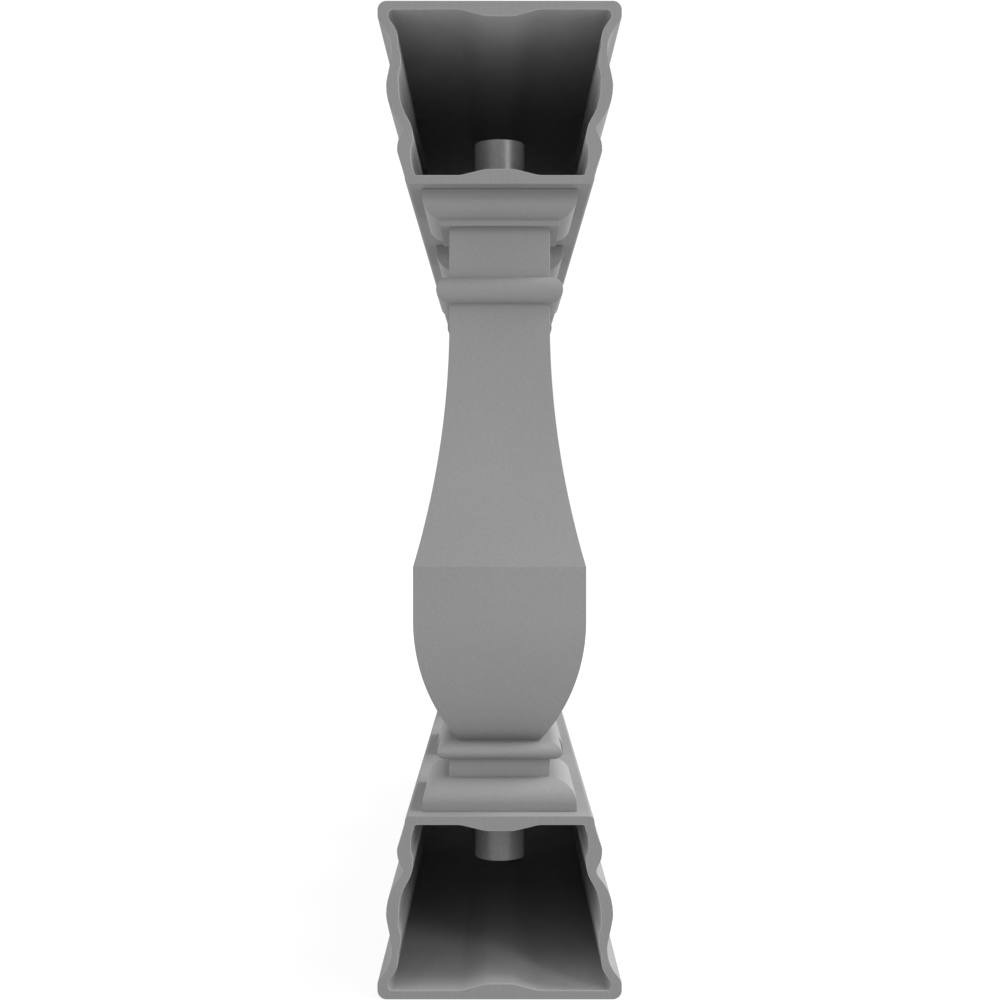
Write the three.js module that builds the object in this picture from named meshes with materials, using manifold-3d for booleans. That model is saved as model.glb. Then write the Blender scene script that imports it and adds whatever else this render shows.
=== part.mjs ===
// A balustrade run about a metre long: a hollow moulded top rail and its mirrored bottom rail, square
// vase balusters standing between them, and a steel pipe through each baluster that reaches into both
// rails. Millimetres, +Z up, the run along X, the origin under its middle on the underside of the
// bottom rail.

import * as THREE from 'three';
import * as BufferGeometryUtils from 'three/addons/utils/BufferGeometryUtils.js';
import Module from 'manifold-3d';

// Driving dimensions of the run
const overallHeight = 914.4;
const balusterCount = 4;
const balusterPitch = 304.8;
const endInset = 20.3;
const seatGap = 0.3;

// Driving dimensions of a rail; depths are measured from its wide outer face towards the balusters
const railDepth = 167.7;
const railWall = 8.0;
const noseRadius = 8.2;
const neckRadius = 4.0;
const innerCorner = 4.4;
const innerNeckCorner = 2.6;
const ridgeHalfBase = 36.0;
const ridgeHalfFlat = 13.5;
const ridgeRise = 6.2;
const pipeHoleClearance = 0.5;

// Where the outside and the inside of the rail wall turn: half width and depth of each turning point,
// and how far the wall runs on almost upright before it (arrive) and after it (leave)
const outerTurns = [
  { half: 111.9, depth: 14.0, leave: 7.3 }, // underside of the nose
  { half: 98.5, depth: 47.5, arrive: 23.1, leave: 3.0 }, // upper cove
  { half: 104.0, depth: 77.0, arrive: 5.0, leave: 27.0 }, // middle swell
  { half: 88.7, depth: 117.0, arrive: 6.6, leave: 6.3 }, // lower cove
  { half: 94.0, depth: 136.8, arrive: 13.5, leave: 4.3 }, // bead
  { half: 86.9, depth: 163.0, arrive: 9.2 }, // neck
];
const innerTurns = [
  { half: 102.4, depth: 12.8, leave: 5.9 },
  { half: 93.3, depth: 34.0, arrive: 10.9, leave: 2.0 },
  { half: 93.2, depth: 38.0, arrive: 2.0, leave: 9.4 },
  { half: 90.6, depth: 56.0, arrive: 14.0, leave: 5.0 },
  { half: 93.0, depth: 72.0, arrive: 8.0, leave: 36.5 },
  { half: 79.3, depth: 125.5, arrive: 22.0, leave: 8.5 },
  { half: 81.7, depth: 139.0, arrive: 9.0, leave: 13.0 },
  { half: 78.4, depth: 157.3, arrive: 3.0 },
];

// Driving dimensions of a baluster; half widths of its square plan, and heights above its foot
const capHalf = 72.0;
const neckHalf = 47.6;
const bellyHalf = 80.15;
const cushionRise = 7.0;
const cushionHalf = 50.0;
const cushionHeight = 20.5;
const lowerBlockTop = 44.2;
const lowerTorusHeight = 16.0;
const lowerTorusReach = 11.2;
const bellyArcRadius = 186.0;
const bellyArcTop = 178.0;
const arrisHeight = 227.4;
const flareTop = 460.0;
const upperTorusBottom = 474.6;
const upperTorusHeight = 25.0;
const upperTorusReach = 12.1;
const filletBottom = 547.0;
const filletTop = 552.3;
const filletHalf = 56.4;
const ovoloTop = 570.0;
const ovoloArrive = 8.0;
const ovoloLeave = 8.5;
const ovoloSink = 1.9;

// Driving dimensions of a pipe
const pipeOuterRadius = 24.15;
const pipeWall = 3.68;
const pipeReach = 57.8;

// Fineness of the facets
const wallSteps = 5;
const cornerSteps = 4;
const mouldingSteps = 6;
const bellySteps = 9;
const flareSteps = 7;
const roundSides = 32;

// Derived sizes
const capInset = endInset + capHalf;
const runLength = (balusterCount - 1) * balusterPitch + 2 * capInset;
const balusterHeight = overallHeight - 2 * railDepth - 2 * seatGap;
const balusterFoot = railDepth + seatGap;
const pipeLength = overallHeight - 2 * railDepth + 2 * pipeReach;
const pipeFoot = railDepth - pipeReach;
const holeRadius = pipeOuterRadius + pipeHoleClearance;

const wasm = await Module();
wasm.setup();

// Turns a closed geometry into a solid that can be cut
function solidOf(geometry) {
  geometry.deleteAttribute('normal');
  geometry.deleteAttribute('uv');
  const merged = BufferGeometryUtils.mergeVertices(geometry, 1e-4);
  return new wasm.Manifold(new wasm.Mesh({
    numProp: 3,
    vertProperties: new Float32Array(merged.attributes.position.array),
    triVerts: new Uint32Array(merged.index.array),
  }));
}

// Turns a solid back into a geometry with faceted shading
function geometryOf(solid) {
  const mesh = solid.getMesh();
  const geometry = new THREE.BufferGeometry();
  geometry.setAttribute('position', new THREE.BufferAttribute(new Float32Array(mesh.vertProperties), 3));
  geometry.setIndex(new THREE.BufferAttribute(new Uint32Array(mesh.triVerts), 1));
  geometry.computeVertexNormals();
  return geometry;
}

// Points along a curve from one corner to the next, without its first point
function curvePoints(curve, steps) {
  return curve.getPoints(steps).slice(1);
}

// A quarter of an ellipse from start to end, leaving start along X or along Y
function quarter(start, end, leaveAlongX, steps) {
  const points = [];
  for (let step = 1; step <= steps; step += 1) {
    const angle = (step / steps) * (Math.PI / 2);
    const early = Math.sin(angle);
    const late = 1 - Math.cos(angle);
    const alongX = leaveAlongX ? early : late;
    const alongY = leaveAlongX ? late : early;
    points.push(new THREE.Vector2(
      start.x + (end.x - start.x) * alongX,
      start.y + (end.y - start.y) * alongY,
    ));
  }
  return points;
}

// The wall's smooth line through its turning points, upright at each of them
function wallLine(turns) {
  const first = new THREE.Vector2(turns[0].half, turns[0].depth);
  const points = [first];
  for (let index = 1; index < turns.length; index += 1) {
    const from = turns[index - 1];
    const to = turns[index];
    const curve = new THREE.CubicBezierCurve(
      new THREE.Vector2(from.half, from.depth),
      new THREE.Vector2(from.half, from.depth + from.leave),
      new THREE.Vector2(to.half, to.depth - to.arrive),
      new THREE.Vector2(to.half, to.depth),
    );
    points.push(...curvePoints(curve, wallSteps));
  }
  return points;
}

// Half of the rail's outer outline, from the middle of its wide face to the middle of its seat face
function outerHalf() {
  const line = wallLine(outerTurns);
  const shoulder = new THREE.Vector2(line[0].x - noseRadius, 0);
  const noseSide = new THREE.Vector2(line[0].x, noseRadius);
  const neck = line[line.length - 1];
  const seatEdge = new THREE.Vector2(neck.x - neckRadius, railDepth);
  return [shoulder, ...quarter(shoulder, noseSide, true, cornerSteps), ...line,
    ...quarter(neck, seatEdge, false, cornerSteps)];
}

// Half of the hollow's outline, with half of the ridge under each of its two flat walls
function innerHalf() {
  const line = wallLine(innerTurns);
  const floor = railDepth - railWall;
  const cornerStart = new THREE.Vector2(line[0].x - innerCorner, railWall);
  const neck = line[line.length - 1];
  const neckEnd = new THREE.Vector2(neck.x - innerNeckCorner, floor);
  return [
    new THREE.Vector2(ridgeHalfFlat, railWall + ridgeRise),
    new THREE.Vector2(ridgeHalfBase, railWall),
    cornerStart,
    ...quarter(cornerStart, line[0], true, cornerSteps),
    ...line.slice(1),
    ...quarter(neck, neckEnd, false, cornerSteps - 1),
    new THREE.Vector2(ridgeHalfBase, floor),
    new THREE.Vector2(ridgeHalfFlat, floor - ridgeRise),
  ];
}

// Both halves of an outline, closed and anticlockwise, with each depth turned into a height
function closedOutline(half, heightOf) {
  const right = half.map((point) => new THREE.Vector2(point.x, heightOf(point.y)));
  const left = right.map((point) => new THREE.Vector2(-point.x, point.y)).reverse();
  const loop = [...right, ...left];
  return THREE.ShapeUtils.isClockWise(loop) ? loop.reverse() : loop;
}

// An upright round bar at x, for cutting a hole
function roundBar(x, radius, bottom, top) {
  const geometry = new THREE.CylinderGeometry(radius, radius, top - bottom, roundSides);
  geometry.rotateX(Math.PI / 2);
  geometry.translate(x, 0, (bottom + top) / 2);
  return solidOf(geometry);
}

function balusterX(index) {
  return (index - (balusterCount - 1) / 2) * balusterPitch;
}

// A rail, swept along the run, hollow from end to end, with a round hole for each pipe in its seat wall
function railGeometry(heightOf) {
  const section = new THREE.Shape(closedOutline(outerHalf(), heightOf));
  section.holes.push(new THREE.Path(closedOutline(innerHalf(), heightOf)));
  const swept = new THREE.ExtrudeGeometry(section, { depth: runLength, bevelEnabled: false });
  swept.applyMatrix4(new THREE.Matrix4().makeBasis(
    new THREE.Vector3(0, 1, 0),
    new THREE.Vector3(0, 0, 1),
    new THREE.Vector3(1, 0, 0),
  ));
  swept.translate(-runLength / 2, 0, 0);
  let rail = solidOf(swept);
  const holeEnds = [heightOf(railDepth + railWall), heightOf(railDepth - 2 * railWall - ridgeRise)];
  for (let index = 0; index < balusterCount; index += 1) {
    const bar = roundBar(balusterX(index), holeRadius, Math.min(...holeEnds), Math.max(...holeEnds));
    rail = rail.subtract(bar);
  }
  return geometryOf(rail);
}

// The baluster's profile from its foot up: half width as x and height as y
function balusterProfile() {
  const at = (half, height) => new THREE.Vector2(half, height);
  const profile = [at(capHalf, 0), at(capHalf, cushionRise)];
  const cushionTop = at(cushionHalf, cushionRise + cushionHeight);
  profile.push(...quarter(profile[1], cushionTop, false, mouldingSteps));
  profile.push(at(neckHalf, cushionTop.y), at(neckHalf, lowerBlockTop));
  profile.push(...torusPoints(lowerBlockTop, lowerTorusHeight, lowerTorusReach));
  const bellyFoot = lowerBlockTop + lowerTorusHeight;
  for (let step = 0; step <= bellySteps; step += 1) {
    const height = bellyFoot + (bellyArcTop - bellyFoot) * (step / bellySteps);
    const below = bellyArcTop - height;
    profile.push(at(bellyHalf - bellyArcRadius + Math.sqrt(bellyArcRadius ** 2 - below ** 2), height));
  }
  profile.push(at(bellyHalf, arrisHeight));
  const flareRise = flareTop - arrisHeight;
  const flareWidth = bellyHalf - neckHalf;
  const flareRadius = (flareRise ** 2 + flareWidth ** 2) / (2 * flareWidth);
  for (let step = 1; step <= flareSteps; step += 1) {
    const below = flareRise * (1 - step / flareSteps);
    profile.push(at(neckHalf + flareRadius - Math.sqrt(flareRadius ** 2 - below ** 2), flareTop - below));
  }
  profile.push(at(neckHalf, upperTorusBottom));
  profile.push(...torusPoints(upperTorusBottom, upperTorusHeight, upperTorusReach));
  profile.push(at(neckHalf, filletBottom), at(filletHalf, filletBottom), at(filletHalf, filletTop));
  const ovolo = new THREE.CubicBezierCurve(
    at(filletHalf, filletTop),
    at(filletHalf + ovoloLeave, filletTop + ovoloSink),
    at(capHalf, ovoloTop - ovoloArrive),
    at(capHalf, ovoloTop),
  );
  profile.push(...curvePoints(ovolo, mouldingSteps));
  profile.push(at(capHalf, balusterHeight));
  return profile;
}

// A half-round band that stands out from the neck's face
function torusPoints(bottom, height, reach) {
  const points = [];
  for (let step = 1; step <= mouldingSteps + 2; step += 1) {
    const angle = (step / (mouldingSteps + 2)) * Math.PI;
    points.push(new THREE.Vector2(
      neckHalf + reach * Math.sin(angle),
      bottom + (height / 2) * (1 - Math.cos(angle)),
    ));
  }
  return points;
}

// A body that is square at every height of its profile, its corners mitred
function squareLoft(profile) {
  const corners = [[1, 1], [-1, 1], [-1, -1], [1, -1]];
  const positions = [];
  const triangles = [];
  for (const level of profile) {
    for (const [alongX, alongY] of corners) {
      positions.push(alongX * level.x, alongY * level.x, level.y);
    }
  }
  const last = 4 * (profile.length - 1);
  for (let base = 0; base < last; base += 4) {
    for (let corner = 0; corner < 4; corner += 1) {
      const next = (corner + 1) % 4;
      triangles.push(base + corner, base + next, base + 4 + next);
      triangles.push(base + corner, base + 4 + next, base + 4 + corner);
    }
  }
  triangles.push(0, 2, 1, 0, 3, 2);
  triangles.push(last, last + 1, last + 2, last, last + 2, last + 3);
  const geometry = new THREE.BufferGeometry();
  geometry.setAttribute('position', new THREE.Float32BufferAttribute(positions, 3));
  geometry.setIndex(triangles);
  return geometry;
}

// A baluster standing on z = 0, bored through for its pipe
function balusterGeometry() {
  const body = solidOf(squareLoft(balusterProfile()));
  const bore = roundBar(0, holeRadius, -railWall, balusterHeight + railWall);
  return geometryOf(body.subtract(bore));
}

// A pipe standing on z = 0
function pipeGeometry() {
  const pipeBore = pipeOuterRadius - pipeWall;
  const wall = [
    new THREE.Vector2(pipeBore, 0),
    new THREE.Vector2(pipeOuterRadius, 0),
    new THREE.Vector2(pipeOuterRadius, pipeLength),
    new THREE.Vector2(pipeBore, pipeLength),
    new THREE.Vector2(pipeBore, 0),
  ];
  const geometry = new THREE.LatheGeometry(wall, roundSides);
  geometry.rotateX(Math.PI / 2);
  return geometryOf(solidOf(geometry));
}

const mouldingGrey = new THREE.MeshStandardMaterial({ color: 0x939393, roughness: 0.85, metalness: 0 });
const pipeSteel = new THREE.MeshStandardMaterial({ color: 0x7d7d7b, roughness: 0.45, metalness: 0.9 });

const balustrade = new THREE.Group();

function addPiece(name, geometry, material, x, z) {
  const piece = new THREE.Mesh(geometry, material);
  piece.name = name;
  piece.position.set(x, 0, z);
  balustrade.add(piece);
}

addPiece('bottom_rail', railGeometry((depth) => depth), mouldingGrey, 0, 0);
addPiece('top_rail', railGeometry((depth) => overallHeight - depth), mouldingGrey, 0, 0);
for (let index = 0; index < balusterCount; index += 1) {
  addPiece(`baluster_${index + 1}`, balusterGeometry(), mouldingGrey, balusterX(index), balusterFoot);
  addPiece(`pipe_${index + 1}`, pipeGeometry(), pipeSteel, balusterX(index), pipeFoot);
}

export default balustrade;
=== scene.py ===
import math

import bmesh
import bpy
from bpy.props import FloatProperty, FloatVectorProperty, IntProperty, PointerProperty
from mathutils import Matrix, Vector


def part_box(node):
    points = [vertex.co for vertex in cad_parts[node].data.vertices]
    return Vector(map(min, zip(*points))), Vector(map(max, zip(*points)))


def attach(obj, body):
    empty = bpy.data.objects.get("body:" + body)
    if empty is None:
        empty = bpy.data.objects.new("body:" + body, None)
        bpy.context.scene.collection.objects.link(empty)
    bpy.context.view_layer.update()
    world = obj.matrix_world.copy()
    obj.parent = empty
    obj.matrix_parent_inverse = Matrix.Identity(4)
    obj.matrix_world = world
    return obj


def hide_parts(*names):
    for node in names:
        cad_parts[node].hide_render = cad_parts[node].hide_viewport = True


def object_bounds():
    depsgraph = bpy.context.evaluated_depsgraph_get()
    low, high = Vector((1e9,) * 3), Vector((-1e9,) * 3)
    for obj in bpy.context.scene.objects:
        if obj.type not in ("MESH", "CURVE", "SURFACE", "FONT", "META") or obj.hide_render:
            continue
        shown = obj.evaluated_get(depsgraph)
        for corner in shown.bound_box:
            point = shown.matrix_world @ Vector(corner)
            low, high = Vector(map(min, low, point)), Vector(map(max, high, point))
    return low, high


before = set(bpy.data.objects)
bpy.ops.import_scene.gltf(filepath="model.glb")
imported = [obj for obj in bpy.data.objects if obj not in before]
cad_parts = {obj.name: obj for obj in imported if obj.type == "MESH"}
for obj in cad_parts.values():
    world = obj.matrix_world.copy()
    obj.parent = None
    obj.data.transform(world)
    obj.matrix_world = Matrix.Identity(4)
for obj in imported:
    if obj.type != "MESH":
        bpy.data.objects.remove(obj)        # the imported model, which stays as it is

bl_info = {
    "name": "Balustrade Run",
    "version": (1, 0, 0),
    "blender": (4, 5, 0),
    "location": "3D View > Sidebar > Balustrade",
    "description": "Dresses a run of hollow moulded rails, square vase balusters and steel pipes",
    "category": "Add Mesh",
}

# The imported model's own box and the boxes of the nodes that the pieces stand for
CAD_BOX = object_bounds()
BALUSTERS = sorted(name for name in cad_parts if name.startswith("baluster_"))
PIPES = sorted(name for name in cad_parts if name.startswith("pipe_"))
RAIL_LOW, RAIL_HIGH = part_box("top_rail")
BALUSTER_LOW, BALUSTER_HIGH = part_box(BALUSTERS[0])
PIPE_LOW, PIPE_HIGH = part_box(PIPES[0])
BODY = "root"
MM = 0.001
CUT_SLOT = 2  # a rail's material slot for its cut ends, after its outside and its inside
TOUCHING = 0.001 * MM  # points nearer than this lie on the same plane
LONGEST_ROUNDING = 0.45  # the most of an edge that the rounding of its corner takes up
FLOOR_GAP = 0.3 * MM  # the floor lies this far under the part, so that the two don't share a face
MIX_SHARE, MIX_FIRST, MIX_SECOND, MIX_RESULT = 0, 6, 7, 2  # the Mix node's sockets for colours
QUARTER_TURN = math.pi / 2
WHITE = (1.0, 1.0, 1.0, 1.0)

# Where the outside and the inside of a rail's wall turn, in millimetres: half width, depth below the
# wide face, and how far the wall runs on almost upright before and after the turning point
OUTER_TURNS = (
    (111.9, 14.0, 0.0, 7.3),  # underside of the nose
    (98.5, 47.5, 23.1, 3.0),  # upper cove
    (104.0, 77.0, 5.0, 27.0),  # middle swell
    (88.7, 117.0, 6.6, 6.3),  # lower cove
    (94.0, 136.8, 13.5, 4.3),  # bead
    (86.9, 163.0, 9.2, 0.0),  # neck
)
INNER_TURNS = (
    (102.4, 12.8, 0.0, 5.9),
    (93.3, 34.0, 10.9, 2.0),
    (93.2, 38.0, 2.0, 9.4),
    (90.6, 56.0, 14.0, 5.0),
    (93.0, 72.0, 8.0, 36.5),
    (79.3, 125.5, 22.0, 8.5),
    (81.7, 139.0, 9.0, 13.0),
    (78.4, 157.3, 3.0, 0.0),
)


def length_property(name, description, default):
    """A length, in metres"""
    return FloatProperty(name=name, description=description, default=default, unit="LENGTH", precision=4)


def colour_property(name, description, default):
    """A colour of a surface"""
    return FloatVectorProperty(
        name=name, description=description, default=default, size=3, subtype="COLOR", min=0.0, max=1.0
    )


def angle_property(name, description, degrees):
    """An angle, whose default is given in degrees"""
    return FloatProperty(name=name, description=description, default=math.radians(degrees), subtype="ANGLE")


class RailSizes(bpy.types.PropertyGroup):
    """Sizes of the hollow top and bottom rails"""

    wall: length_property("Wall", "Thickness of the two flat walls", 8.0 * MM)
    nose_radius: length_property("Nose radius", "Round edge of the wide face", 8.2 * MM)
    neck_radius: length_property("Neck radius", "Round edge of the seat face", 4.0 * MM)
    inner_corner: length_property("Inner corner", "Round corner of the hollow under the nose", 4.4 * MM)
    inner_neck_corner: length_property("Inner neck corner", "Round corner by the seat", 2.6 * MM)
    ridge_half_base: length_property("Ridge base", "Half width of the ridge at the wall", 36.0 * MM)
    ridge_half_flat: length_property("Ridge flat", "Half width of the ridge's flat", 13.0 * MM)
    ridge_rise: length_property("Ridge rise", "How far the wide wall's ridge stands out", 6.2 * MM)
    seat_ridge_rise: length_property("Seat ridge rise", "How far the seat wall's ridge stands out", 5.6 * MM)
    ridge_blend: length_property("Ridge blend", "How far from a corner the ridge's rounding starts", 3.5 * MM)
    hole_clearance: length_property("Hole clearance", "Gap between a pipe and the hole it passes", 0.5 * MM)
    arris: length_property("Arris", "Rounding of the cut edges", 0.35 * MM)


class BalusterSizes(bpy.types.PropertyGroup):
    """Sizes of a square vase baluster; heights are above its foot"""

    cap_half: length_property("Cap half width", "Half width of the cap and the base", 72.0 * MM)
    neck_half: length_property("Neck half width", "Half width of the neck", 47.6 * MM)
    cushion_rise: length_property("Base height", "Height of the upright base edge", 7.0 * MM)
    cushion_half: length_property("Cushion half width", "Half width at the cushion's top", 50.0 * MM)
    cushion_height: length_property("Cushion height", "Height of the cushion above the base edge", 20.5 * MM)
    lower_block_top: length_property("Lower block top", "Height of the block under the belly", 44.2 * MM)
    lower_torus_height: length_property("Lower band height", "Height of the band under the belly", 16.0 * MM)
    lower_torus_reach: length_property("Lower band reach", "How far that band stands out", 11.2 * MM)
    belly_radius: length_property("Belly radius", "Radius of the belly's underside", 186.0 * MM)
    belly_arc_top: length_property("Belly arc top", "Height where the belly becomes upright", 178.0 * MM)
    arris_height: length_property("Arris height", "Height of the sharp line round the belly", 227.4 * MM)
    flare_top: length_property("Flare top", "Height where the neck becomes upright", 460.0 * MM)
    upper_torus_bottom: length_property("Upper band bottom", "Underside of the neck's round band", 474.6 * MM)
    upper_torus_height: length_property("Upper band height", "Height of that band itself", 25.0 * MM)
    upper_torus_reach: length_property("Upper band reach", "How far that band stands out", 12.1 * MM)
    fillet_bottom: length_property("Fillet bottom", "Height of the small square step", 547.0 * MM)
    fillet_top: length_property("Fillet top", "Height of that step's top", 552.3 * MM)
    fillet_half: length_property("Fillet half width", "Half width of that step", 56.4 * MM)
    ovolo_top: length_property("Ovolo top", "Height where the cap becomes upright", 570.0 * MM)
    ovolo_arrive: length_property("Ovolo arrive", "Upright run of the ovolo below the cap", 8.0 * MM)
    ovolo_leave: length_property("Ovolo leave", "Level run of the ovolo above the step", 8.5 * MM)
    ovolo_sink: length_property("Ovolo sink", "Rise of that level run", 1.9 * MM)
    mitre_radius: length_property("Mitre radius", "Rounding of the upright corners", 0.7 * MM)
    edge_setback: length_property("Edge setback", "Rounding of the level edges", 0.5 * MM)


class PipeSizes(bpy.types.PropertyGroup):
    """Sizes of a steel pipe"""

    wall: length_property("Wall", "Thickness of the pipe", 3.68 * MM)
    chamfer: length_property("Chamfer", "Broken edge of a sawn end", 0.5 * MM)
    sides: IntProperty(name="Sides", description="Facets round the pipe", default=96, min=12)


class FinishSettings(bpy.types.PropertyGroup):
    """Colours and textures of the surfaces"""

    moulding: colour_property("Moulding", "Grey of the moulded faces", (0.172, 0.172, 0.172))
    moulding_pale: colour_property("Moulding pale", "Its paler patches", (0.208, 0.208, 0.208))
    cut: colour_property("Cut face", "Grey of the sawn ends", (0.151, 0.151, 0.151))
    cut_pale: colour_property("Cut face pale", "Cell walls on the sawn ends", (0.180, 0.180, 0.180))
    # The hollow's two greys are set paler than the moulding's as painted light that lifts the shade inside
    # the hollow; the streaks between them are the back face's own marks
    inside: colour_property("Inside", "Grey of the hollow's back face", (0.262, 0.262, 0.262))
    inside_pale_with_painted_light: colour_property("Inside pale", "Its paler streaks", (0.328, 0.328, 0.328))
    steel: colour_property("Steel", "Dark zinc of the pipes", (0.108, 0.108, 0.108))
    steel_pale: colour_property("Steel pale", "Bright zinc crystals of the pipes", (0.158, 0.158, 0.157))
    moulding_roughness: FloatProperty(
        name="Moulding roughness", description="Dullness of the moulded faces", default=0.66, min=0.0, max=1.0
    )
    steel_roughness: FloatProperty(
        name="Steel roughness", description="Dullness of the pipes", default=0.36, min=0.0, max=1.0
    )


class StageSettings(bpy.types.PropertyGroup):
    """Floor, light and camera"""

    floor: colour_property("Floor", "Pale lit table under the part", (0.12, 0.12, 0.12))
    floor_glow: FloatProperty(name="Floor glow", description="Light given by the table itself", default=0.84)
    floor_span: length_property("Floor span", "Width and length of the floor", 40.0)
    sky: FloatProperty(name="Sky", description="Brightness of the white surround", default=1.05, min=0.0)
    key: FloatProperty(name="Key light", description="Strength of the light from the right", default=3.9)
    key_turn: angle_property("Key light turn", "Turn of the key light from the camera to the right", 96.0)
    key_height: angle_property("Key light height", "Height of the key light above the horizon", 42.0)
    fill: FloatProperty(name="Fill light", description="Strength of the light from the left", default=0.7)
    fill_turn: angle_property("Fill light turn", "Turn of the fill light from the camera to the right", -70.0)
    fill_height: angle_property("Fill light height", "Height of the fill light above the horizon", 30.0)
    softness: angle_property("Light softness", "How wide the key and the fill light look", 40.0)
    softbox: FloatProperty(name="Softbox", description="Power of the upright softbox, in watts", default=12.5)
    softbox_width: length_property("Softbox width", "Width of the softbox", 0.45)
    softbox_height: length_property("Softbox height", "Height of the softbox", 1.0)
    softbox_turn: angle_property("Softbox turn", "Turn of the softbox from the camera to the right", 38.0)
    softbox_distance: length_property("Softbox distance", "From the nearest pipe to the softbox", 2.2)
    softbox_raise: length_property("Softbox raise", "Height of the softbox's middle", 1.25)
    camera_distance: length_property("Camera distance", "From the near cut face to the camera", 1.3402)
    lens: FloatProperty(name="Lens", description="Focal length on a 36 mm sensor", default=52.7, min=1.0)
    lens_shift: FloatProperty(
        name="Lens shift", description="Moves the picture left, in its widths", default=0.00035, precision=5
    )


def at(half, height):
    """A point of an outline: across the part and along its height or depth"""
    return Vector((half, height))


def arc_points(start, end, leave_first, steps):
    """A quarter of an ellipse without its start, which it leaves along the first axis or the second"""
    points = []
    for step in range(1, steps + 1):
        angle = step / steps * QUARTER_TURN
        early, late = math.sin(angle), 1 - math.cos(angle)
        along = (early, late) if leave_first else (late, early)
        points.append(at(start.x + (end.x - start.x) * along[0], start.y + (end.y - start.y) * along[1]))
    return points


def bezier_points(start, first, second, end, steps):
    """A cubic curve from start to end, without start"""
    points = []
    for step in range(1, steps + 1):
        share = step / steps
        rest = 1 - share
        points.append(
            start * rest**3 + first * 3 * rest**2 * share + second * 3 * rest * share**2 + end * share**3
        )
    return points


def soften(points, setback, steps=3, least_turn=math.radians(25), closed=False):
    """The line with each corner that turns sharply replaced by a small curve"""
    softened = []
    count = len(points)
    for index, corner in enumerate(points):
        if not closed and index in (0, count - 1):
            softened.append(corner)
            continue
        before = points[index - 1] - corner
        after = points[(index + 1) % count] - corner
        turn = math.pi - before.angle(after, math.pi)
        if turn < least_turn:
            softened.append(corner)
            continue
        reach = min(setback, min(before.length, after.length) * LONGEST_ROUNDING)
        start, end = corner + before.normalized() * reach, corner + after.normalized() * reach
        for step in range(steps + 1):
            share = step / steps
            rest = 1 - share
            softened.append(start * rest**2 + corner * 2 * rest * share + end * share**2)
    return softened


def wall_line(turns, steps):
    """The smooth line of a rail wall through its turning points, upright at each of them"""
    half, depth, _, leave = (value * MM for value in turns[0])
    line = [at(half, depth)]
    for turn in turns[1:]:
        start = line[-1]
        next_half, next_depth, arrive, next_leave = (value * MM for value in turn)
        end = at(next_half, next_depth)
        line += bezier_points(start, start + at(0, leave), end - at(0, arrive), end, steps)
        leave = next_leave
    return line


def mirrored(half_line):
    """The half outline and its mirror image, as one closed loop"""
    return half_line + [at(-point.x, point.y) for point in reversed(half_line)]


def rail_outline(sizes, depth, steps=10, corner_steps=8):
    """The outside of a rail's section, from its wide face at 0 to its seat face at depth"""
    line = wall_line(OUTER_TURNS, steps)
    shoulder = at(line[0].x - sizes.nose_radius, 0)
    side = at(line[0].x, sizes.nose_radius)
    seat_edge = at(line[-1].x - sizes.neck_radius, depth)
    half = [shoulder] + arc_points(shoulder, side, True, corner_steps) + line
    return mirrored(half + arc_points(line[-1], seat_edge, False, corner_steps))


def hollow_outline(sizes, depth, steps=8, corner_steps=6, ridge_steps=5, ridge_turn=math.radians(12)):
    """The inside of a rail's section, with a ridge on each of its two flat walls"""
    line = wall_line(INNER_TURNS, steps)
    floor = depth - sizes.wall
    corner = at(line[0].x - sizes.inner_corner, sizes.wall)
    neck_end = at(line[-1].x - sizes.inner_neck_corner, floor)
    half = [at(sizes.ridge_half_flat, sizes.wall + sizes.ridge_rise), at(sizes.ridge_half_base, sizes.wall)]
    half += [corner] + arc_points(corner, line[0], True, corner_steps) + line[1:]
    half += arc_points(line[-1], neck_end, False, corner_steps)
    half += [at(sizes.ridge_half_base, floor), at(sizes.ridge_half_flat, floor - sizes.seat_ridge_rise)]
    return soften(mirrored(half), sizes.ridge_blend, ridge_steps, ridge_turn, closed=True)


def new_object(name, data, materials=()):
    """Puts a mesh, a light or a camera into the scene"""
    for material in materials:
        data.materials.append(material)
    made = bpy.data.objects.new(name, data)
    bpy.context.scene.collection.objects.link(made)
    return made


def finished_mesh(bm, name):
    """Turns the bmesh into a mesh with outward faces"""
    bmesh.ops.recalc_face_normals(bm, faces=bm.faces)
    mesh = bpy.data.meshes.new(name)
    bm.to_mesh(mesh)
    bm.free()
    return mesh


def join_rings(bm, rings):
    """Adds the faces between each ring of points and the next, and gives them"""
    faces = []
    for near, far in zip(rings, rings[1:]):
        for index in range(len(near)):
            following = (index + 1) % len(near)
            faces.append(bm.faces.new((near[index], near[following], far[following], far[index])))
    return faces


def round_bar(name, x, radius, low, high, sides=96):
    """An upright bar, for cutting a hole"""
    bm = bmesh.new()
    bmesh.ops.create_cone(bm, cap_ends=True, segments=sides, radius1=radius, radius2=radius, depth=high - low)
    bmesh.ops.translate(bm, verts=bm.verts, vec=(x, 0, (low + high) / 2))
    return new_object(name, finished_mesh(bm, name))


def grown(loop, distance):
    """The closed loop moved outwards by the distance, or inwards where it is below zero"""
    following = loop[1:] + loop[:1]
    turning = sum(point.x * after.y - after.x * point.y for point, after in zip(loop, following))
    sideways = distance if turning > 0 else -distance
    moved = []
    for before, point, after in zip(loop[-1:] + loop[:-1], loop, following):
        along = (after - before).normalized()
        moved.append(point + at(along.y, -along.x) * sideways)
    return moved


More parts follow.
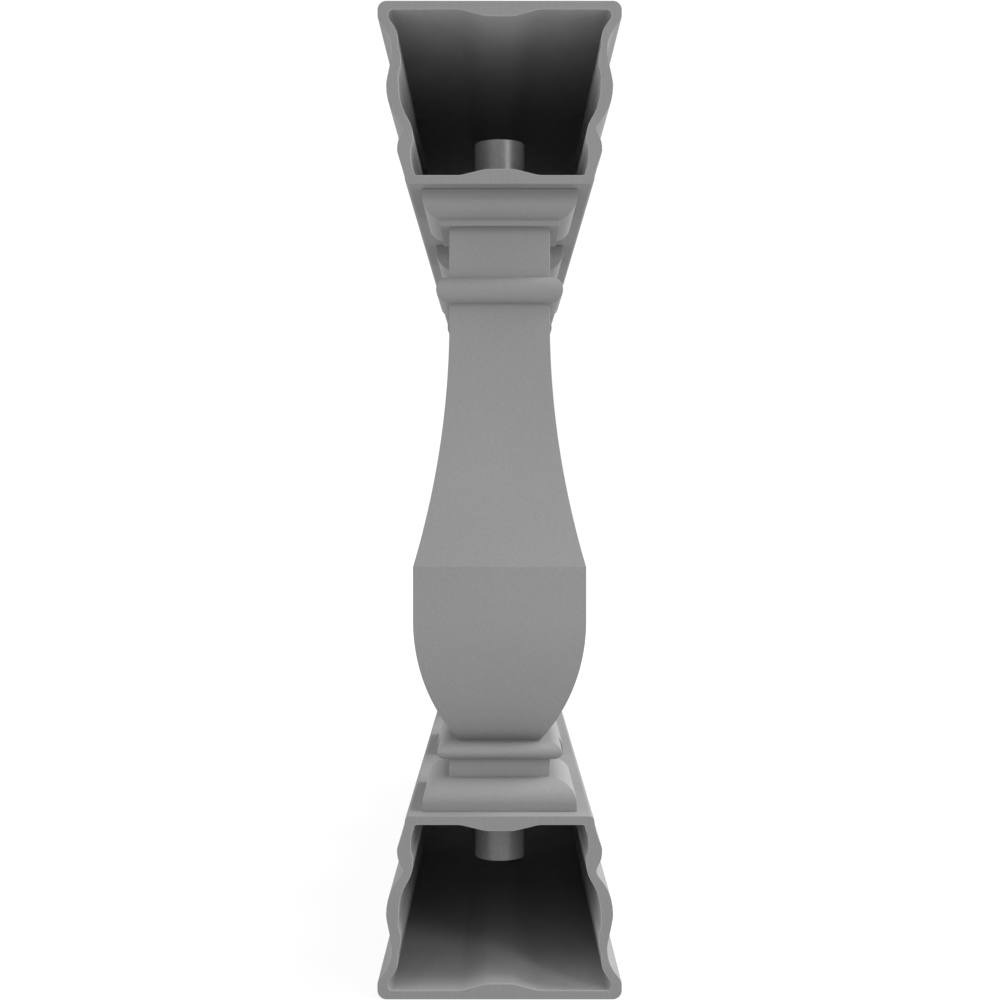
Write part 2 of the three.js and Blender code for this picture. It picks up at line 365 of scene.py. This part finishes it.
def swept_tube(name, outer, inner, low, high, arris, materials, arris_steps=3):
    """A hollow section swept along X, with rounded cut edges; materials for outside, inside and cuts"""
    bm = bmesh.new()
    angles = [step / arris_steps * QUARTER_TURN for step in range(arris_steps + 1)]
    rounding = [(arris * (1 - math.cos(angle)), arris * (1 - math.sin(angle))) for angle in angles]
    stations = [(low + back, inset) for back, inset in rounding]
    stations += [(high - back, inset) for back, inset in reversed(rounding)]
    for slot, (loop, outwards) in enumerate(((outer, -1), (inner, 1))):
        rings = []
        for x, inset in stations:
            rings.append([bm.verts.new((x, point.x, point.y)) for point in grown(loop, inset * outwards)])
        for face in join_rings(bm, rings):
            face.material_index = slot
    for x in (low, high):
        rim = [edge for edge in bm.edges if all(abs(vertex.co.x - x) < TOUCHING for vertex in edge.verts)]
        filled = bmesh.ops.triangle_fill(bm, use_beauty=True, use_dissolve=False, edges=rim)
        for face in (item for item in filled["geom"] if isinstance(item, bmesh.types.BMFace)):
            face.material_index = CUT_SLOT
    return new_object(name, finished_mesh(bm, name), materials)


def apply_modifiers(piece):
    """Keeps the shape that the modifiers give, without the modifiers"""
    shaped = bpy.data.meshes.new_from_object(piece.evaluated_get(bpy.context.evaluated_depsgraph_get()))
    piece.modifiers.clear()
    piece.data = shaped


def shade(piece, sharp_angle, flat_slot=None):
    """Smooth shading that breaks at sharp edges and leaves the faces of one material slot flat"""
    piece.data.shade_smooth()
    for face in piece.data.polygons:
        face.use_smooth = face.material_index != flat_slot
    piece.data.set_sharp_from_angle(angle=math.radians(sharp_angle))
    weighted = piece.modifiers.new("even_shading", "WEIGHTED_NORMAL")
    weighted.keep_sharp = True


def stand_for(piece, node):
    """Lets the piece take its node's place"""
    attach(piece, BODY)
    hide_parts(node)


class Value:
    """A socket of a shader tree that takes part in sums"""

    def __init__(self, tree, socket):
        self.tree = tree
        self.socket = socket

    def sum_of(self, operation, first, second):
        return self.tree.add("ShaderNodeMath", {"operation": operation}, {0: first, 1: second})

    def __add__(self, other):
        return self.sum_of("ADD", self, other)

    def __radd__(self, other):
        return self.sum_of("ADD", other, self)

    def __sub__(self, other):
        return self.sum_of("SUBTRACT", self, other)

    def __mul__(self, other):
        return self.sum_of("MULTIPLY", self, other)

    def __lt__(self, other):
        return self.sum_of("LESS_THAN", self, other)

    def __gt__(self, other):
        return self.sum_of("GREATER_THAN", self, other)


class Finish:
    """A material's node tree, with one method that adds any node"""

    def __init__(self, name):
        self.material = bpy.data.materials.new(name)
        self.material.use_nodes = True
        self.nodes = self.material.node_tree.nodes
        self.links = self.material.node_tree.links
        self.shader = self.nodes["Principled BSDF"]
        self.position = self.add("ShaderNodeTexCoord", output="Object")

    def add(self, kind, settings=None, inputs=None, output=0):
        """Adds a node of any kind and gives its output"""
        made = self.nodes.new(kind)
        for setting, value in (settings or {}).items():
            setattr(made, setting, value)
        self.fill(made, inputs or {})
        return Value(self, made.outputs[output])

    def fill(self, made, inputs):
        """Gives each input its value, or a link where the value is a socket"""
        for socket, value in inputs.items():
            if isinstance(value, Value):
                self.links.new(value.socket, made.inputs[socket])
            else:
                made.inputs[socket].default_value = value

    def stretched(self, along):
        """The position with each axis scaled, so that a pattern on it runs long"""
        return self.add("ShaderNodeVectorMath", {"operation": "MULTIPLY"}, {0: self.position, 1: along})

    def noise(self, scale, detail=2.0, roughness=0.5, distortion=0.0, vector=None):
        inputs = {"Vector": vector or self.position, "Scale": scale, "Detail": detail}
        inputs.update({"Roughness": roughness, "Distortion": distortion})
        return self.add("ShaderNodeTexNoise", {"noise_dimensions": "3D"}, inputs)

    def cells(self, scale, output="Distance", vector=None):
        settings = {"voronoi_dimensions": "3D", "feature": "F1"}
        inputs = {"Vector": vector or self.position, "Scale": scale}
        return self.add("ShaderNodeTexVoronoi", settings, inputs, output)

    def grey(self, colour):
        return self.add("ShaderNodeRGBToBW", inputs={0: colour})

    def between(self, first, second, share):
        """A colour between two others"""
        inputs = {MIX_SHARE: share, MIX_FIRST: (*first, 1.0), MIX_SECOND: (*second, 1.0)}
        return self.add("ShaderNodeMix", {"data_type": "RGBA", "clamp_factor": True}, inputs, MIX_RESULT)

    def relief(self, height, strength, distance):
        inputs = {"Height": height, "Strength": strength, "Distance": distance}
        return self.add("ShaderNodeBump", inputs=inputs, output="Normal")

    def surface(self, **sockets):
        """Fills the shader's own sockets, named in lower case, and gives the material"""
        names = {name: name.replace("_", " ").title().replace("Ior", "IOR") for name in sockets}
        self.fill(self.shader, {names[name]: value for name, value in sockets.items()})
        return self.material


def moulded_skin(colours):
    """The smooth outside of the mouldings: faint clouds, speckle, fine grain and a few pinholes"""
    finish = Finish("moulded_skin")
    cloud = finish.noise(scale=5.0, detail=3.0, roughness=0.55)
    speckle = finish.noise(scale=380.0, roughness=0.6)
    grain = finish.noise(scale=900.0)
    peel = finish.noise(scale=240.0, detail=1.0)
    spot = finish.cells(scale=110.0) < 0.09
    spotted_area = finish.noise(scale=28.0) > 0.56
    pinhole = spot * spotted_area
    share = 0.5 + (cloud - 0.5) * 1.1 + (speckle - 0.5) * 1.1 + (grain - 0.5) * 0.5 - pinhole * 0.9
    height = peel * 0.6 + speckle * 0.25 + grain * 0.15 - pinhole * 0.8
    return finish.surface(
        base_color=finish.between(colours.moulding, colours.moulding_pale, share),
        roughness=colours.moulding_roughness + (cloud - 0.5) * 0.10 + (grain - 0.5) * 0.06,
        specular_ior_level=0.32,
        normal=finish.relief(height, strength=0.55, distance=0.2 * MM),
    )


def hollow_strands_and_painted_light(colours):
    """The back of the mouldings inside the hollow: coarse, with strands pressed into it, in greys set paler
    than the moulding's as painted light that lifts the hollow's shade
    """
    finish = Finish("hollow_strands_and_painted_light")
    along_run = finish.stretched((0.35, 1.0, 1.0))
    strands = finish.noise(scale=60.0, detail=3.0, roughness=0.6, distortion=1.2, vector=along_run)
    coarse = finish.noise(scale=190.0, detail=3.0, roughness=0.6)
    cloud = finish.noise(scale=9.0)
    # Painted light: the inside greys mixed here are paler than the moulding's to lift the shade in the
    # hollow; the strands and clouds are the back face's own marks
    share = 0.5 + (strands - 0.5) * 0.9 + (cloud - 0.5) * 0.8
    height = strands * 0.7 + coarse * 0.5
    return finish.surface(
        base_color=finish.between(colours.inside, colours.inside_pale_with_painted_light, share),
        roughness=0.78 + (strands - 0.5) * 0.16,
        specular_ior_level=0.32,
        normal=finish.relief(height, strength=0.6, distance=0.7 * MM),
    )


def sawn_face(colours):
    """The sawn ends: tiny cells and faint upright saw lines"""
    finish = Finish("sawn_face")
    cells = finish.cells(scale=800.0)
    saw = finish.noise(scale=520.0, vector=finish.stretched((1.0, 1.0, 0.06)))
    share = 0.1 + cells * 0.9 + (saw - 0.5) * 0.9
    height = cells * 0.6 + saw * 0.4
    return finish.surface(
        base_color=finish.between(colours.cut, colours.cut_pale, share),
        roughness=0.72 + (cells - 0.5) * 0.12,
        normal=finish.relief(height, strength=0.4, distance=0.2 * MM),
    )


def zinc_coat(colours):
    """Galvanised steel: crystal patches, drawn lines along the pipe and dull spots"""
    finish = Finish("zinc_coat")
    cells = finish.cells(scale=420.0, output="Color", vector=finish.stretched((1.0, 1.0, 0.6)))
    crystals = finish.grey(cells)
    drawn = finish.noise(scale=420.0, vector=finish.stretched((1.0, 1.0, 0.03)))
    dull = finish.noise(scale=60.0, detail=3.0, roughness=0.6)
    share = 0.5 + (crystals - 0.5) * 0.5 + (drawn - 0.5) * 0.6 + (dull - 0.5) * 0.7
    height = drawn * 0.6 + dull * 0.4
    return finish.surface(
        base_color=finish.between(colours.steel, colours.steel_pale, share),
        metallic=0.25 + (dull - 0.5) * 0.3,
        roughness=colours.steel_roughness + (dull - 0.5) * 0.20 + (crystals - 0.5) * 0.06,
        normal=finish.relief(height, strength=0.15, distance=0.1 * MM),
    )


class MESH_OT_balustrade_rails(bpy.types.Operator):
    """Add the hollow top and bottom rails, holed for the pipes"""

    bl_idname = "mesh.balustrade_rails"
    bl_label = "Add Rails"

    def execute(self, context):
        sizes = context.scene.balustrade_rail
        colours = context.scene.balustrade_finish
        depth = RAIL_HIGH.z - RAIL_LOW.z
        outer, inner = rail_outline(sizes, depth), hollow_outline(sizes, depth)
        materials = [moulded_skin(colours), hollow_strands_and_painted_light(colours), sawn_face(colours)]
        for node in ("top_rail", "bottom_rail"):
            low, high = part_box(node)
            upside = -1 if node == "top_rail" else 1
            wide_face = high.z if upside < 0 else low.z
            seat = wide_face + upside * depth
            loops = [[at(p.x, wide_face + upside * p.y) for p in loop] for loop in (outer, inner)]
            rail = swept_tube(f"{node}_moulding", *loops, low.x, high.x, sizes.arris, materials)
            self.cut_holes(rail, sizes, seat, upside)
            shade(rail, sharp_angle=50, flat_slot=CUT_SLOT)
            stand_for(rail, node)
        return {"FINISHED"}

    def cut_holes(self, rail, sizes, seat, upside):
        """Cuts a round hole through the seat wall and its ridge for each pipe"""
        reach = 2 * (sizes.wall + sizes.ridge_rise)
        ends = sorted((seat + upside * sizes.wall, seat - upside * reach))
        radius = (PIPE_HIGH.x - PIPE_LOW.x) / 2 + sizes.hole_clearance
        bars = []
        for node in PIPES:
            low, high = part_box(node)
            bars.append(round_bar("hole_bar", (low.x + high.x) / 2, radius, *ends))
            cut = rail.modifiers.new("pipe_hole", "BOOLEAN")
            cut.operation = "DIFFERENCE"
            cut.solver = "EXACT"
            cut.object = bars[-1]
        apply_modifiers(rail)
        for bar in bars:
            bpy.data.objects.remove(bar)


class MESH_OT_balustrade_balusters(bpy.types.Operator):
    """Add the square vase balusters, bored for the pipes"""

    bl_idname = "mesh.balustrade_balusters"
    bl_label = "Add Balusters"

    def execute(self, context):
        sizes = context.scene.balustrade_baluster
        height = BALUSTER_HIGH.z - BALUSTER_LOW.z
        belly = (BALUSTER_HIGH.y - BALUSTER_LOW.y) / 2
        bore = (PIPE_HIGH.x - PIPE_LOW.x) / 2 + context.scene.balustrade_rail.hole_clearance
        mesh = self.loft(baluster_profile(sizes, height, belly), sizes.mitre_radius, bore)
        skin = bpy.data.materials.get("moulded_skin") or moulded_skin(context.scene.balustrade_finish)
        for node in BALUSTERS:
            low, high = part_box(node)
            baluster = new_object(f"{node}_moulding", mesh.copy(), [skin])
            baluster.data.transform(Matrix.Translation(((low.x + high.x) / 2, 0, low.z)))
            shade(baluster, sharp_angle=14)
            stand_for(baluster, node)
        return {"FINISHED"}

    def square_ring(self, half, radius, corner_steps=4, side_points=11):
        """Points round a square with rounded corners, and even points along its sides"""
        straight = half - radius
        corners = ((1, 1), (-1, 1), (-1, -1), (1, -1))
        arcs = []
        for quarter, (side_x, side_y) in enumerate(corners):
            centre = Vector((straight * side_x, straight * side_y))
            angles = [(quarter + step / corner_steps) * QUARTER_TURN for step in range(corner_steps + 1)]
            arcs.append([centre + Vector((math.cos(angle), math.sin(angle))) * radius for angle in angles])
        ring = []
        for arc, next_arc in zip(arcs, arcs[1:] + arcs[:1]):
            shares = [step / (side_points + 1) for step in range(1, side_points + 1)]
            ring += arc + [arc[-1].lerp(next_arc[0], share) for share in shares]
        return ring

    def loft(self, profile, mitre, bore):
        """A body square in plan at each height of its profile, with a round bore"""
        bm = bmesh.new()
        rings = []
        for level in profile:
            rings.append([bm.verts.new((x, y, level.y)) for x, y in self.square_ring(level.x, mitre)])
        for end in (profile[-1], profile[0]):
            ring = self.square_ring(end.x, mitre)
            on_bore = [point.normalized() * bore for point in ring]
            rings.append([bm.verts.new((point.x, point.y, end.y)) for point in on_bore])
        join_rings(bm, rings + rings[:1])
        return finished_mesh(bm, "baluster")


def band_points(neck, bottom, height, reach, steps=20):
    """A half-round band standing out from the neck"""
    points = []
    for step in range(1, steps + 1):
        angle = step / steps * math.pi
        points.append(at(neck + reach * math.sin(angle), bottom + height / 2 * (1 - math.cos(angle))))
    return points


def baluster_profile(sizes, height, belly, steps=12, belly_steps=26, flare_steps=26):
    """The baluster's outline from its foot up: half width and height"""
    profile = [at(sizes.cap_half, 0), at(sizes.cap_half, sizes.cushion_rise)]
    cushion_top = at(sizes.cushion_half, sizes.cushion_rise + sizes.cushion_height)
    profile += arc_points(profile[1], cushion_top, False, steps)
    profile += [at(sizes.neck_half, cushion_top.y), at(sizes.neck_half, sizes.lower_block_top)]
    profile += band_points(
        sizes.neck_half, sizes.lower_block_top, sizes.lower_torus_height, sizes.lower_torus_reach
    )
    foot = sizes.lower_block_top + sizes.lower_torus_height
    for step in range(belly_steps + 1):
        level = foot + (sizes.belly_arc_top - foot) * step / belly_steps
        drop = sizes.belly_arc_top - level
        profile.append(at(belly - sizes.belly_radius + math.sqrt(sizes.belly_radius**2 - drop**2), level))
    profile.append(at(belly, sizes.arris_height))
    rise, width = sizes.flare_top - sizes.arris_height, belly - sizes.neck_half
    radius = (rise**2 + width**2) / (2 * width)
    for step in range(1, flare_steps + 1):
        drop = rise * (1 - step / flare_steps)
        profile.append(at(sizes.neck_half + radius - math.sqrt(radius**2 - drop**2), sizes.flare_top - drop))
    profile.append(at(sizes.neck_half, sizes.upper_torus_bottom))
    profile += band_points(
        sizes.neck_half, sizes.upper_torus_bottom, sizes.upper_torus_height, sizes.upper_torus_reach
    )
    profile += [at(sizes.neck_half, sizes.fillet_bottom), at(sizes.fillet_half, sizes.fillet_bottom)]
    step_top = at(sizes.fillet_half, sizes.fillet_top)
    cap = at(sizes.cap_half, sizes.ovolo_top)
    profile.append(step_top)
    level_run = step_top + at(sizes.ovolo_leave, sizes.ovolo_sink)
    profile += bezier_points(step_top, level_run, cap - at(0, sizes.ovolo_arrive), cap, steps)
    profile.append(at(sizes.cap_half, height))
    return soften(profile, sizes.edge_setback)


class MESH_OT_balustrade_pipes(bpy.types.Operator):
    """Add the steel pipes that stand in the balusters"""

    bl_idname = "mesh.balustrade_pipes"
    bl_label = "Add Pipes"

    def execute(self, context):
        sizes = context.scene.balustrade_pipe
        zinc = zinc_coat(context.scene.balustrade_finish)
        for node in PIPES:
            low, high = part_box(node)
            radius = (high.x - low.x) / 2
            bore = radius - sizes.wall
            outside, inside = radius - sizes.chamfer, bore + sizes.chamfer
            foot, head = low.z + sizes.chamfer, high.z - sizes.chamfer
            wall = [at(outside, low.z), at(radius, foot), at(radius, head), at(outside, high.z)]
            wall += [at(inside, high.z), at(bore, head), at(bore, foot), at(inside, low.z)]
            pipe = new_object(f"{node}_tube", self.turned(wall, (low.x + high.x) / 2, sizes.sides), [zinc])
            shade(pipe, sharp_angle=30)
            stand_for(pipe, node)
        return {"FINISHED"}

    def turned(self, wall, x, sides):
        """The wall's outline turned round an upright axis at x"""
        bm = bmesh.new()
        rings = []
        for point in wall:
            angles = [index / sides * math.tau for index in range(sides)]
            spots = [(x + point.x * math.cos(a), point.x * math.sin(a), point.y) for a in angles]
            rings.append([bm.verts.new(spot) for spot in spots])
        join_rings(bm, rings + rings[:1])
        return finished_mesh(bm, "pipe")


class SCENE_OT_balustrade_stage(bpy.types.Operator):
    """Add the pale floor, the soft lights and the camera at the end of the run"""

    bl_idname = "scene.balustrade_stage"
    bl_label = "Add Stage"

    def execute(self, context):
        stage = context.scene.balustrade_stage
        self.floor(stage)
        self.sky(context.scene, stage)
        self.far_light("key_light", stage.key, stage.key_turn, stage.key_height, stage.softness)
        self.far_light("fill_light", stage.fill, stage.fill_turn, stage.fill_height, stage.softness)
        self.softbox(stage)
        self.camera(context.scene, stage)
        return {"FINISHED"}

    def floor(self, stage):
        """The table that the part stands on"""
        bm = bmesh.new()
        bmesh.ops.create_grid(bm, x_segments=1, y_segments=1, size=stage.floor_span / 2)
        bmesh.ops.translate(bm, verts=bm.verts, vec=(0, 0, CAD_BOX[0].z - FLOOR_GAP))
        floor = new_object("floor", finished_mesh(bm, "floor"))
        finish = Finish("floor_paint")
        pale = tuple(min(1.0, value * 1.01) for value in stage.floor)
        finish.surface(
            base_color=finish.between(stage.floor, pale, finish.noise(scale=3.0)),
            roughness=0.9,
            emission_color=WHITE,
            emission_strength=stage.floor_glow,
        )
        floor.data.materials.append(finish.material)

    def sky(self, scene, stage):
        """The white surround, and colours shown as they are"""
        world = bpy.data.worlds.new("white_surround")
        world.use_nodes = True
        surround = world.node_tree.nodes["Background"]
        surround.inputs["Color"].default_value = WHITE
        surround.inputs["Strength"].default_value = stage.sky
        scene.world = world
        scene.view_settings.view_transform = "Standard"

    def towards(self, turn, height):
        """The direction that is turned from the camera's side to the right, and raised"""
        level = math.cos(height)
        return Vector((-level * math.cos(turn), -level * math.sin(turn), math.sin(height)))

    def far_light(self, name, strength, turn, height, softness):
        """A soft light that is the same everywhere on the part"""
        data = bpy.data.lights.new(name, "SUN")
        data.energy = strength
        data.angle = softness
        lamp = new_object(name, data)
        lamp.rotation_euler = self.towards(turn, height).to_track_quat("Z", "Y").to_euler()

    def softbox(self, stage):
        """An upright panel that the pipes mirror"""
        data = bpy.data.lights.new("softbox", "AREA")
        data.shape = "RECTANGLE"
        data.size = stage.softbox_width
        data.size_y = stage.softbox_height
        data.energy = stage.softbox
        lamp = new_object("softbox", data)
        low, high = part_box(PIPES[0])
        aim = Vector(((low.x + high.x) / 2, 0, (low.z + high.z) / 2))
        lamp.location = aim + self.towards(stage.softbox_turn, 0) * stage.softbox_distance
        lamp.location.z = stage.softbox_raise
        lamp.rotation_euler = (lamp.location - aim).to_track_quat("Z", "Y").to_euler()

    def camera(self, scene, stage):
        """The camera on the run's own line, looking along it at mid height"""
        data = bpy.data.cameras.new("end_view")
        data.lens = stage.lens
        data.sensor_width = 36.0
        data.shift_x = stage.lens_shift
        camera = new_object("end_view", data)
        middle = (CAD_BOX[0].z + CAD_BOX[1].z) / 2
        camera.location = (CAD_BOX[0].x - stage.camera_distance, 0, middle)
        camera.rotation_euler = (math.radians(90), 0, math.radians(-90))
        scene.camera = camera


class VIEW3D_PT_balustrade(bpy.types.Panel):
    """The balustrade's pieces and their settings"""

    bl_label = "Balustrade Run"
    bl_space_type = "VIEW_3D"
    bl_region_type = "UI"
    bl_category = "Balustrade"

    def draw(self, context):
        finish = self.layout.box()
        finish.label(text="Finish of all the pieces")
        self.show(finish, context.scene.balustrade_finish)
        for operator, settings in PARTS:
            box = self.layout.box()
            box.operator(operator.bl_idname)
            self.show(box, getattr(context.scene, settings))

    def show(self, box, group):
        for name in type(group).__annotations__:
            box.prop(group, name)


# Each operator and the name of its settings, in the order of the making
PARTS = (
    (MESH_OT_balustrade_rails, "balustrade_rail"),
    (MESH_OT_balustrade_balusters, "balustrade_baluster"),
    (MESH_OT_balustrade_pipes, "balustrade_pipe"),
    (SCENE_OT_balustrade_stage, "balustrade_stage"),
)
SETTINGS = {
    "balustrade_rail": RailSizes,
    "balustrade_baluster": BalusterSizes,
    "balustrade_pipe": PipeSizes,
    "balustrade_finish": FinishSettings,
    "balustrade_stage": StageSettings,
}


def register():
    for name, group in SETTINGS.items():
        bpy.utils.register_class(group)
        setattr(bpy.types.Scene, name, PointerProperty(type=group))
    for operator, _ in PARTS:
        bpy.utils.register_class(operator)
    bpy.utils.register_class(VIEW3D_PT_balustrade)


def unregister():
    bpy.utils.unregister_class(VIEW3D_PT_balustrade)
    for operator, _ in reversed(PARTS):
        bpy.utils.unregister_class(operator)
    for name, group in reversed(SETTINGS.items()):
        delattr(bpy.types.Scene, name)
        bpy.utils.unregister_class(group)


def main():
    register()
    bpy.ops.mesh.balustrade_rails()
    bpy.ops.mesh.balustrade_balusters()
    bpy.ops.mesh.balustrade_pipes()
    bpy.ops.scene.balustrade_stage()


if __name__ == "__main__":
    main()
